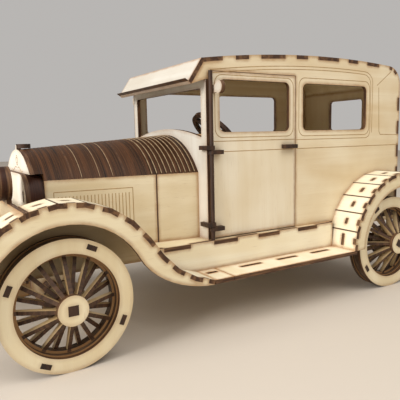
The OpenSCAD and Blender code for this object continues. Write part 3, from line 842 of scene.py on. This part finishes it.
@dataclass
class Cabin:
    """Side plates with their engraved lines, roof, visor, bulkhead and rear panel.

    Sizes are in millimetres. The outer and the inner line have their drop below the roof and the X of their
    upright part.
    """

    wardrobe: Wardrobe
    quarter: tuple[Point, Point] = ((-134.4, 139.2), (-59.2, 176.6))
    frame_gap: float = 4.6
    frame_r: float = 6.5
    door_rear: float = -51.8
    belt_z: float = 124.8
    waist_z: float = 132.0
    outer_line: Point = (8.6, -142.6)
    inner_line: Point = (11.0, -140.2)
    outer_end: float = 136.5
    roof_places: range = range(29, -132, -8)
    bend_r: float = 9
    bend_turns: tuple[float, ...] = (22, 45, 68, 90)
    foot_r: float = 5
    foot_cut: float = 1.6
    tail_lines: tuple[tuple[Point, ...], ...] = (
        ((-148.6, 178.2), (-167.5, 191.2)),
        ((-150.8, 176.4), (-152.6, 137.4), (-154.4, 134.6), (SIZES.tail_x, 134.0)),
    )
    visor_run: float = 11.0
    visor_fall: float = 16.3
    lip_inset: float = 0.1
    lip_proud: float = 0.02

    def build(self) -> None:
        """Dresses the cabin and engraves its sides."""
        self.wardrobe.dress_nodes("side_sheet", "body_side_left", "body_side_right")
        self.wardrobe.dress_nodes("roof_skin", "roof_panel", "dashboard")
        self.wardrobe.dress_nodes("visor_skin", "visor")
        self.wardrobe.dress_nodes("cowl_sheet", "front_bulkhead")
        self.wardrobe.dress_nodes("cross_sheet", "rear_panel")
        for name, side in SIDES.items():
            self.engrave(name, side)
        self.visor_lip()

    def visor_lip(self) -> None:
        """Chars the cut edge along the visor's lower end."""
        top = SIZES.roof_at(SIZES.bulkhead_x + SIZES.ply)
        slope = Vector((self.visor_run, 0, -self.visor_fall)).normalized()
        out = Vector((-slope.z, 0, slope.x))
        low = Vector((SIZES.bulkhead_x + SIZES.ply + self.visor_run, 0, top - self.visor_fall))
        face = Face(tuple(low + out * SIZES.ply / 2), (0, 1, 0), tuple(out), tuple(slope))
        pen = Engraver(face, width=SIZES.ply - self.lip_inset, proud=self.lip_proud)
        pen.ribbon([(-SIZES.side_y + self.lip_inset, 0.0), (SIZES.side_y - self.lip_inset, 0.0)])
        self.wardrobe.hand_over(pen.done(), "visor_lip", "burnt_joint", "car", Slot.BIRCH)

    def roof_line(self, drop: float, back: float) -> list[Point]:
        """Line that follows the roof rearward and bends down behind the quarter window.

        Args:
            drop: How far the line runs below the roof.
            back: X of its upright part.

        Returns:
            Points of the line, down to the end of the bend.
        """
        roof = [(x, SIZES.roof_at(x) - drop) for x in self.roof_places]
        knee = roof[-1]
        turns = [math.radians(a) for a in self.bend_turns]
        bend = [(back + (knee[0] - back) * (1 - math.sin(a)),
                 knee[1] - self.bend_r + self.bend_r * math.cos(a)) for a in turns]
        return roof + bend

    def engrave(self, name: str, side: int) -> None:
        """Draws the lines on one side plate.

        Args:
            name: left or right.
            side: 1 on the left and -1 on the right.
        """
        pen = Engraver(SIZES.flank(side, SIZES.side_y))
        (x0, z0), (x1, z1) = self.quarter
        gap = self.frame_gap
        pen.frame((x0 - gap, z0 - gap), (x1 + gap, z1 + gap), self.frame_r)
        pen.ribbon([(self.door_rear, self.belt_z), (SIZES.tail_x, self.belt_z)])
        pen.ribbon([*self.roof_line(*self.outer_line), (self.outer_line[1], self.outer_end)])
        back, waist = self.inner_line[1], self.waist_z
        foot = [(back, waist + self.foot_r), (back + self.foot_cut, waist + self.foot_cut),
                (back + self.foot_r, waist)]
        pen.ribbon([*self.roof_line(*self.inner_line), *foot, (self.door_rear, waist)])
        for line in self.tail_lines:
            pen.ribbon(list(line))
        self.wardrobe.hand_over(pen.done(), f"side_lines_{name}", "engraved_line", "car", Slot.BIRCH)


@dataclass
class Door:
    """One hinged door with its window frame and waist lines engraved. Sizes are in millimetres."""

    wardrobe: Wardrobe
    name: str
    side: int
    rear_x: float = -51.0
    front_x: float = 29.4
    window: tuple[Point, Point] = ((-44.6, 139.0), (21.4, 176.6))
    frame_beside: float = 4.4
    frame_below: float = 4.2
    frame_above: float = 3.4
    frame_r: float = 6.5
    waist_lines: tuple[float, float] = (132.4, 124.8)
    line_inset: float = 0.5

    def build(self) -> None:
        """Dresses the door and engraves it."""
        self.wardrobe.dress_nodes("door_sheet", f"door_{self.name}")
        self.wardrobe.dress_nodes("dark_stain", f"door_{self.name}_leaves", f"door_{self.name}_handle")
        self.wardrobe.dress_nodes("cowl_sheet", f"door_{self.name}_mirror")
        pen = Engraver(SIZES.flank(self.side, SIZES.side_y))
        (x0, z0), (x1, z1) = self.window
        beside = self.frame_beside
        pen.frame((x0 - beside, z0 - self.frame_below), (x1 + beside, z1 + self.frame_above), self.frame_r)
        for z in self.waist_lines:
            pen.ribbon([(self.rear_x + self.line_inset, z), (self.front_x - self.line_inset, z)])
        body = f"door_{self.name}_body"
        self.wardrobe.hand_over(pen.done(), f"door_lines_{self.name}", "engraved_line", body, Slot.BIRCH)


@dataclass
class Hardware:
    """Hinge rods and brackets, and the steering."""

    wardrobe: Wardrobe

    def build(self) -> None:
        """Dresses the small dark parts."""
        self.wardrobe.dress_nodes("dark_stain", "hinge_rods", "hinge_brackets")
        self.wardrobe.dress_nodes("dark_stain", "steering_column", "steering_wheel")


@dataclass
class Hood:
    """Stacked hood, the side panels under it with their louvres, and the arcs drawn on the stack.

    Sizes are in millimetres. The front and the rear have their place along the car and the hood's half width
    there; the crown is its height at the front and at the rear. The lit and the dark sheets are counted from
    the front. Each kind of arc has its length along the car and its height above the sheets.
    """

    wardrobe: Wardrobe
    front: Point = (148.0, 39.0)
    rear: Point = (33.0, 50.3)
    crown: tuple[float, float] = (129.9, 138.0)
    base_z: float = 110.0
    lit: tuple[int, ...] = (10, 14, 17)
    dark: tuple[int, ...] = (8, 20)
    close_sheets: int = 26
    spaced_sheets: int = 10
    lit_size: Point = (0.3, 0.1)
    rim_size: Point = (0.35, 0.06)
    gap_size: Point = (0.9, 0.08)
    arc_sunk: float = 0.5
    arc_beside: float = 0.02
    arc_share: float = 0.98
    arc_steps: int = 40
    louvres: int = 21
    louvre_box: tuple[Point, Point] = ((50.8, 74.0), (104.8, 102.2))
    louvre_box_r: float = 0.6
    louvre_inset: float = 3
    louvre_top: float = 3.4
    line_w: float = 0.5
    panel_joint: float = 33.2
    panel_joint_w: float = 1.1
    panel_foot: float = 60.5

    def half(self, x: float) -> float:
        """Half width of the hood at the place x along the car."""
        return self.rear[1] + (self.front[1] - self.rear[1]) * self.part(x)

    def part(self, x: float) -> float:
        """Share of the hood's length from the bulkhead forward to x."""
        return (x - self.rear[0]) / (self.front[0] - self.rear[0])

    def arcs(self, name: str, finish: str, places: list[Point], size: Point) -> None:
        """Adds thin arcs over the stack, where a sheet's face shows or a gap opens.

        Args:
            name: Name of the new piece.
            finish: Name of its finish.
            places: For each arc, the rear of its sheet and the rear of the arc, along the car.
            size: Length of an arc along the car, and its height above the sheets.
        """
        thick, proud = size
        whole = bmesh.new()
        for sheet_x, x in places:
            width = self.half(sheet_x) + self.arc_beside
            top = self.crown[1] + (self.crown[0] - self.crown[1]) * self.part(sheet_x)
            rise = top - self.base_z
            radius = (width * width + rise * rise) / (2 * rise)
            turn = math.asin(width / radius) * self.arc_share
            low, high = radius - self.arc_sunk, radius + proud
            corners = [whole.verts.new((x + dx, 0, top - radius + r))
                       for dx, r in ((0, low), (thick, low), (thick, high), (0, high))]
            start = [whole.faces.new(corners)]
            middle, axis = (x, 0, top - radius), (1, 0, 0)
            bmesh.ops.rotate(whole, verts=corners, cent=middle, matrix=Matrix.Rotation(-turn, 3, axis))
            bmesh.ops.spin(whole, geom=start + corners + list(start[0].edges), cent=middle, axis=axis,
                           angle=2 * turn, steps=self.arc_steps, use_merge=False)
        self.wardrobe.hand_over(whole, name, finish, "car", Slot.BROWN)

    def lines(self) -> None:
        """Adds the lit and the dark arcs of the stack."""
        lit = [self.front[0] - index * SIZES.ply for index in self.lit]
        pitch = (self.front[0] - self.close_sheets * SIZES.ply - self.rear[0]) / self.spaced_sheets
        spaced = [self.rear[0] + i * pitch for i in range(self.spaced_sheets)]
        rims = [(x, x + SIZES.ply - self.rim_size[0]) for x in spaced]
        dark = [self.front[0] - index * SIZES.ply for index in self.dark]
        self.arcs("hood_lit_lines", "lit_line", [(x, x) for x in lit], self.lit_size)
        self.arcs("hood_sheet_rims", "lit_line", rims, self.rim_size)
        self.arcs("hood_gaps", "burnt_joint", [(x, x) for x in dark], self.gap_size)

    def engrave(self, name: str, side: int) -> None:
        """Draws the louvre box and the joint of the two panels on one side of the engine.

        Args:
            name: left or right.
            side: 1 on the left and -1 on the right.
        """
        run = Vector((self.front[0] - self.rear[0], side * (self.front[1] - self.rear[1]))).normalized()
        face = Face((self.rear[0], side * self.rear[1], 0), (run.x, run.y, 0), (0, 0, 1),
                    (-run.y, side * run.x, 0))
        pen = Engraver(face, width=self.line_w)
        (left, low), (right, high) = self.louvre_box
        pen.frame((left, low), (right, high), self.louvre_box_r)
        pitch = (right - left - 2 * self.louvre_inset) / (self.louvres - 1)
        for i in range(self.louvres):
            x = left + self.louvre_inset + i * pitch
            pen.ribbon([(x, low + self.louvre_inset), (x, high - self.louvre_top)])
        self.wardrobe.hand_over(pen.done(), f"louvres_{name}", "engraved_line", "car", Slot.BIRCH)
        pen = Engraver(face, width=self.panel_joint_w)
        pen.ribbon([(self.panel_joint, self.panel_foot), (self.panel_joint, self.base_z)])
        self.wardrobe.hand_over(pen.done(), f"panel_joint_{name}", "burnt_joint", "car", Slot.BIRCH)

    def build(self) -> None:
        """Dresses the hood and adds its lines."""
        self.wardrobe.dress_nodes("hood_stack", "hood_front_sheets")
        self.wardrobe.dress_nodes("spaced_stack", "hood_rear_sheets")
        self.wardrobe.dress_nodes("engine_sheet", "engine_side_front_panels", "engine_side_rear_panels")
        self.lines()
        for name, side in SIDES.items():
            self.engrave(name, side)


@dataclass
class Nose:
    """Arched nose plate with a plain emblem, radiator, cap, headlights and their bar.

    The emblem is two rings over a wavy line. Sizes are in millimetres.
    """

    wardrobe: Wardrobe
    plate_x: float = 151.0
    line_w: float = 0.5
    ring_z: float = 122.4
    ring_radii: tuple[float, float] = (3.6, 2.3)
    wave_z: float = 116.4
    wave_rise: float = 1.6
    wave_run: float = 3.2
    wave_places: tuple[float, ...] = (1.5, 3.5, 6, 8.5, 11, 13.5, 16, 18.5)

    def build(self) -> None:
        """Dresses the nose and engraves its emblem."""
        self.wardrobe.dress_nodes("chalk_sheet", "nose_arch_plate", "radiator_front_plate", "headlight_rims")
        self.wardrobe.dress_nodes("nose_stack", "radiator_sheets", "headlight_drums")
        self.wardrobe.dress_nodes("dark_stain", "radiator_cap")
        self.wardrobe.dress_nodes("bar_sheet", "headlight_bar")
        pen = Engraver(Face((self.plate_x, 0, 0), (0, 1, 0), (0, 0, 1), (1, 0, 0)), width=self.line_w)
        for radius in self.ring_radii:
            pen.ring((0.0, self.ring_z), radius)
        for side in (-1, 1):
            pen.ribbon([(side * x, self.wave_z + self.wave_rise * math.sin(x / self.wave_run))
                        for x in self.wave_places])
        self.wardrobe.hand_over(pen.done(), "nose_emblem", "engraved_line", "car", Slot.BIRCH)


@dataclass
class Wheels:
    """The two wheelsets."""

    wardrobe: Wardrobe

    def build(self) -> None:
        """Dresses both wheelsets."""
        for end in ("front", "rear"):
            self.wardrobe.dress_nodes("wheel_face", f"{end}_tyre_rings", f"{end}_hubs")
            self.wardrobe.dress_nodes("tyre_sheet", f"{end}_left_tyre", f"{end}_right_tyre")
            self.wardrobe.dress_nodes("spoke_sheet", f"{end}_spokes")
            self.wardrobe.dress_nodes("dark_stain", f"{end}_wheel_pegs", f"{end}_axle")


@dataclass(frozen=True)
class Lamp:
    """One soft square lamp: its place, the point it faces, its side, its power in watts and its tint."""

    name: str
    at: Point3
    aim: Point3
    size: float
    power: float
    tint: Colour

    def hang(self) -> None:
        """Adds the lamp to the scene."""
        data = bpy.data.lights.new(self.name, "AREA")
        data.shape, data.size, data.energy, data.color = "SQUARE", self.size, self.power, self.tint
        lamp = bpy.data.objects.new(self.name, data)
        lamp.location = self.at
        lamp.rotation_euler = (Vector(self.aim) - Vector(self.at)).to_track_quat("-Z", "Y").to_euler()
        bpy.context.scene.collection.objects.link(lamp)


@dataclass(frozen=True)
class Studio:
    """Floor, lamps and camera, in metres and degrees; the lens and its sensor are in millimetres."""

    camera_at: Point3 = (0.21570, 0.35327, 0.13614)
    yaw: float = -121.21
    pitch: float = -7.57
    roll: float = -1.23
    lens: float = 42.98
    sensor: float = 36.0
    nearest: float = 0.01
    farthest: float = 20.0
    air: Colour = linear(206, 203, 200)
    air_power: float = 0.78
    floor_half: float = 3.0
    floor_cells: int = 8
    lamps: tuple[Lamp, ...] = (
        Lamp("window", (1.4, 0.25, 0.75), (0.05, 0, 0.08), 0.8, 26.0, (1.0, 0.98, 0.95)),
        Lamp("ceiling", (-0.2, 0.9, 1.5), (0, 0, 0.08), 1.4, 15.0, (1.0, 0.97, 0.93)),
    )

    def floor(self, wardrobe: Wardrobe) -> None:
        """Lays the pale floor.

        Args:
            wardrobe: The finishes.
        """
        bm = bmesh.new()
        cells = self.floor_cells
        bmesh.ops.create_grid(bm, x_segments=cells, y_segments=cells, size=self.floor_half)
        mesh = bpy.data.meshes.new("floor")
        bm.to_mesh(mesh)
        bm.free()
        mesh.materials.append(wardrobe.material("pale_floor"))
        floor = bpy.data.objects.new("floor", mesh)
        bpy.context.scene.collection.objects.link(floor)

    def camera(self) -> None:
        """Sets the camera up."""
        data = bpy.data.cameras.new("camera")
        data.sensor_width, data.lens = self.sensor, self.lens
        data.clip_start, data.clip_end = self.nearest, self.farthest
        yaw, pitch, roll = (math.radians(v) for v in (self.yaw, self.pitch, self.roll))
        look = Vector((math.cos(pitch) * math.cos(yaw), math.cos(pitch) * math.sin(yaw), math.sin(pitch)))
        side = look.cross(Vector((0, 0, 1))).normalized()
        top = side.cross(look)
        right = side * math.cos(roll) + top * math.sin(roll)
        up = top * math.cos(roll) - side * math.sin(roll)
        camera = bpy.data.objects.new("camera", data)
        turn = Matrix((right, up, -look)).transposed().to_4x4()
        camera.matrix_world = Matrix.Translation(self.camera_at) @ turn
        bpy.context.scene.collection.objects.link(camera)
        bpy.context.scene.camera = camera

    def build(self, wardrobe: Wardrobe) -> None:
        """Sets the whole studio up.

        Args:
            wardrobe: The finishes.
        """
        world = bpy.data.worlds.new("air")
        world.use_nodes = True
        back = world.node_tree.nodes["Background"]
        back.inputs[0].default_value, back.inputs[1].default_value = (*self.air, 1.0), self.air_power
        bpy.context.scene.world = world
        self.floor(wardrobe)
        for lamp in self.lamps:
            lamp.hang()
        self.camera()
        bpy.context.scene.view_settings.view_transform = "Standard"


def main() -> None:
    """Builds the studio and every sub-assembly in order."""
    logging.basicConfig(level=logging.INFO, format="%(name)s: %(message)s")
    wardrobe = Wardrobe()
    Studio().build(wardrobe)
    parts = [Chassis(wardrobe), Fenders(wardrobe), Cabin(wardrobe), Hardware(wardrobe), Hood(wardrobe),
             Nose(wardrobe), Wheels(wardrobe)]
    parts += [Door(wardrobe, name, side) for name, side in SIDES.items()]
    for part in parts:
        part.build()
        LOG.info("finished the %s", type(part).__name__)


if __name__ == "__main__":
    main()
